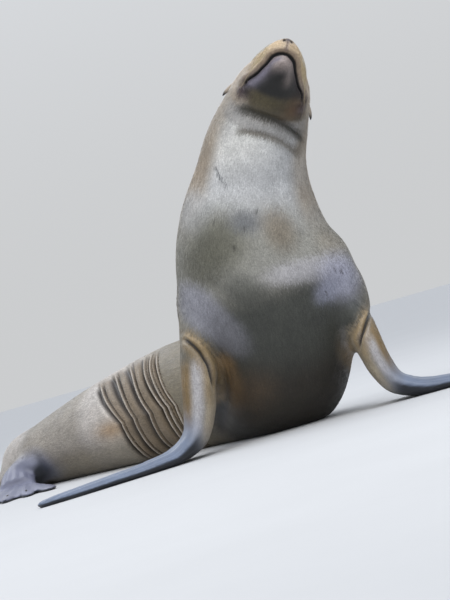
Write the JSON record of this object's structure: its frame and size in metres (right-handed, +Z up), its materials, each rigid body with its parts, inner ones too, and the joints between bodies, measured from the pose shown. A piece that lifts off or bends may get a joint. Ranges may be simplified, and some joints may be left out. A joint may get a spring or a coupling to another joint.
{
  "type": "sea lion",
  "caption": "Life-size still model of a sea lion resting upright on its splayed foreflippers, chest and belly on the floor, head raised, trunk and hind flippers trailing behind.",
  "frame": {"origin": "On the floor, under the middle of the bounding box.", "axes": "+Z is up. The chest faces -Y. The animal's own right side is towards -X. The trunk trails towards -X and +Y."},
  "size_m": [1.4068, 1.2672, 0.7779],
  "materials": {
    "coat": "short, flat-lying wet fur, grey-brown with an olive sheen",
    "bare_skin": "smooth dark blue-grey bare skin, damp",
    "eye": "glossy, near black",
    "claw": "dark horn"
  },
  "bodies": {
    "root": {"head": "coat", "jaw": "coat", "neck": "coat", "chest": "coat", "abdomen": "coat", "hips": "coat", "tail": "coat", "forearm_right": "coat", "forearm_left": "coat", "ear_right": "coat", "ear_left": "coat", "foreflipper_right": "bare_skin", "foreflipper_left": "bare_skin", "hind_flipper_right": "bare_skin", "hind_flipper_left": "bare_skin", "eye_right": "eye", "eye_left": "eye", "claw_right_2": "claw", "claw_right_3": "claw", "claw_right_4": "claw", "claw_left_2": "claw", "claw_left_3": "claw", "claw_left_4": "claw"}
  },
  "joints": []
}
